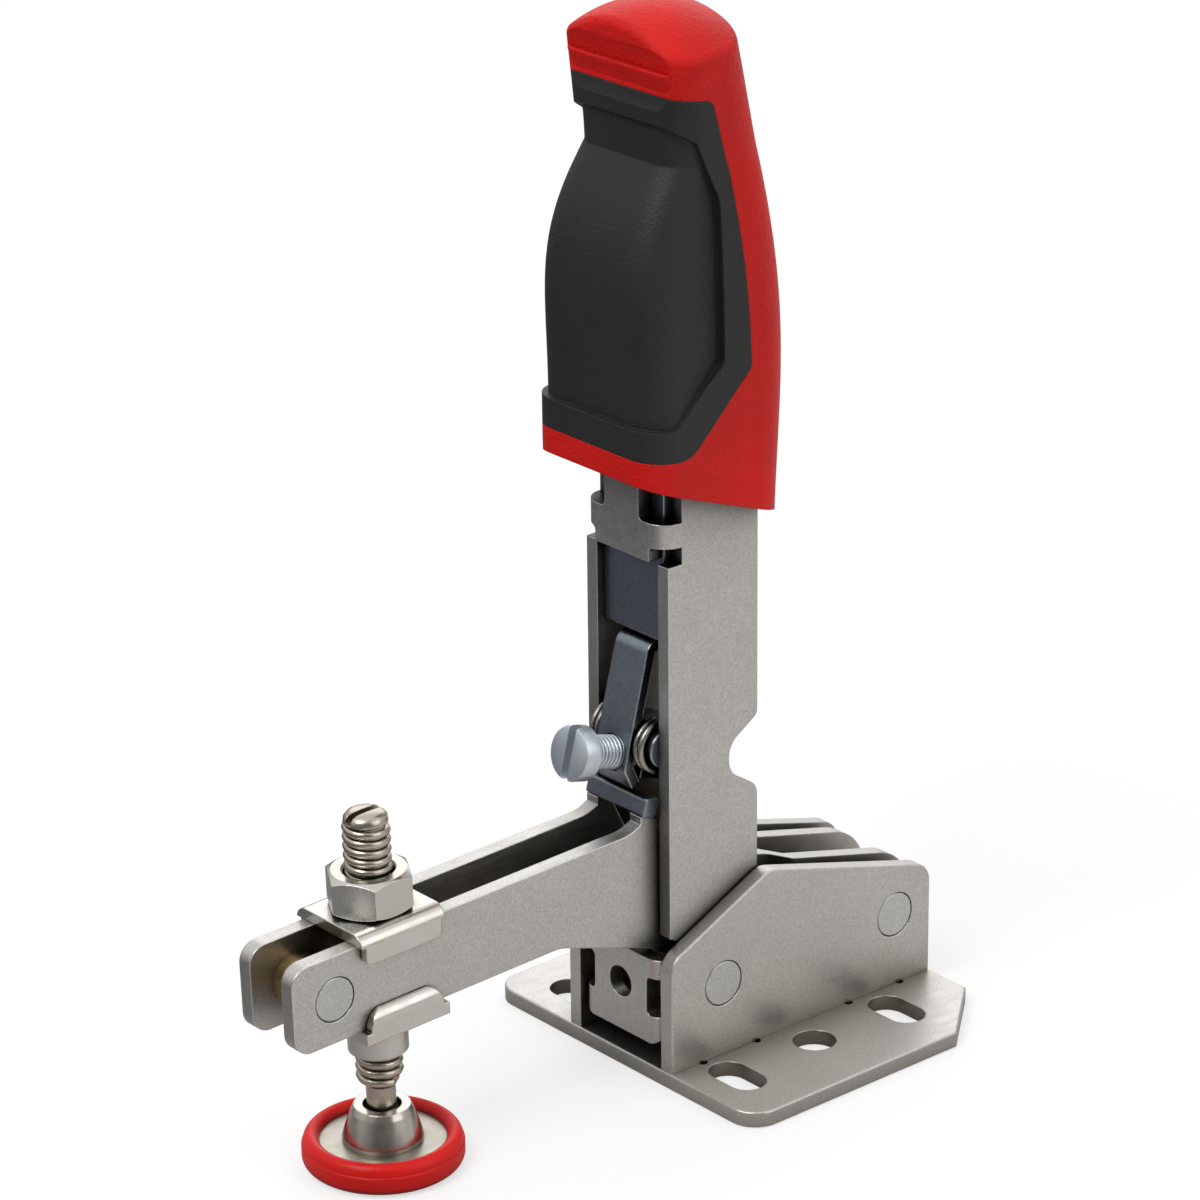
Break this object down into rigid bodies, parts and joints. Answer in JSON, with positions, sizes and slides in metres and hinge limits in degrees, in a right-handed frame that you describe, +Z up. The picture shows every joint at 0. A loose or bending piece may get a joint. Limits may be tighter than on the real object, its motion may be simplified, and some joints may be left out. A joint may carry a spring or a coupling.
{
  "type": "toggle clamp",
  "caption": "Hold-down toggle clamp with an upright handle, open arm of paired plates, screw spindle with a swivelling pad, and a slotted flat base.",
  "frame": {"origin": "centre of the rectangle of the four fixing slots, on the underside of the base", "axes": "+Z up from the base, the clamping arm points along -Y, +X across the clamp, X = 0 is its plane of symmetry"},
  "size_m": [0.0674, 0.1341, 0.184],
  "materials": {
    "plated_sheet": "satin nickel plating",
    "rivet_steel": "satin",
    "brass_sleeve": "satin",
    "blue_zinc": "blue passivated zinc",
    "spring_steel": "satin",
    "red_plastic": "fine grain, slightly glossy",
    "black_rubber": "satin",
    "bright_zinc": "bright zinc plating",
    "bright_cup": "bright",
    "red_rubber": "satin"
  },
  "bodies": {
    "base": {"base_plate": "plated_sheet", "bracket_left": "plated_sheet", "bracket_right": "plated_sheet", "front_pin": "rivet_steel", "rear_pin": "rivet_steel", "rear_spacer_left": "rivet_steel", "rear_spacer_right": "rivet_steel"},
    "arm": {"arm_plate_left": "plated_sheet", "arm_plate_right": "plated_sheet", "nose_rivet": "rivet_steel", "nose_sleeve": "brass_sleeve", "arm_yoke": "plated_sheet", "arm_rivet_left": "rivet_steel", "arm_rivet_right": "rivet_steel", "cross_bar": "blue_zinc"},
    "handle": {"handle_channel": "plated_sheet", "crank_stub_left": "rivet_steel", "crank_stub_right": "rivet_steel", "back_plate": "blue_zinc", "pressure_lever": "blue_zinc", "nut_bar": "blue_zinc", "return_spring_left": "spring_steel", "return_spring_right": "spring_steel", "grip_shell": "red_plastic", "grip_inlay": "black_rubber"},
    "link": {"link_plate_left": "plated_sheet", "link_plate_right": "plated_sheet", "link_front_pin": "rivet_steel", "link_front_spacer": "rivet_steel", "link_rear_spacer": "rivet_steel"},
    "carriage": {"upper_saddle": "bright_zinc", "lower_saddle": "bright_zinc", "lower_sleeve": "bright_zinc"},
    "nut": {"hex_nut": "bright_zinc"},
    "spindle": {"spindle": "bright_zinc"},
    "pad": {"swivel_cup": "bright_cup", "pad_disc": "bright_cup", "pad_cap": "red_rubber"},
    "screw": {"adjusting_screw": "blue_zinc"}
  },
  "joints": [
    {"name": "arm_swing", "type": "hinge", "parent": "base", "child": "arm", "pos_m": [0, -0.0148, 0.016], "axis": [-1, 0, 0], "range_deg": [0, 70.3]},
    {"name": "handle_swing", "type": "hinge", "parent": "arm", "child": "handle", "pos_m": [0, -0.0142, 0.0245], "axis": [-1, 0, 0], "range_deg": [0, 9.6]},
    {"name": "link_swing", "type": "hinge", "parent": "base", "child": "link", "pos_m": [0, 0.0249, 0.016], "axis": [-1, 0, 0], "range_deg": [-22.1, 0]},
    {"name": "carriage_slide", "type": "slide", "parent": "arm", "child": "carriage", "axis": [0, 0.9996, 0.0297], "range_m": [-0.0045, 0.022]},
    {"name": "spindle_height", "type": "slide", "parent": "carriage", "child": "spindle", "axis": [0, -0.0297, 0.9996], "range_m": [-0.008, 0.005]},
    {"name": "pad_tilt", "type": "hinge", "parent": "spindle", "child": "pad", "pos_m": [0, -0.07759, 0.0076], "axis": [1, 0, 0], "range_deg": [-10, 10]},
    {"name": "nut_turn", "type": "hinge", "parent": "carriage", "child": "nut", "pos_m": [0, -0.07845, 0.0367], "axis": [0, -0.0297, 0.9996], "continuous": true},
    {"name": "screw_turn", "type": "hinge", "parent": "handle", "child": "screw", "pos_m": [0, -0.02703, 0.0578], "axis": [0, -0.9673, 0.2538], "continuous": true}
  ],
  "couplings": [
    {"joint": "handle_swing", "follows": "arm_swing", "ratio": 0.13599},
    {"joint": "link_swing", "follows": "arm_swing", "ratio": -0.31294}
  ]
}
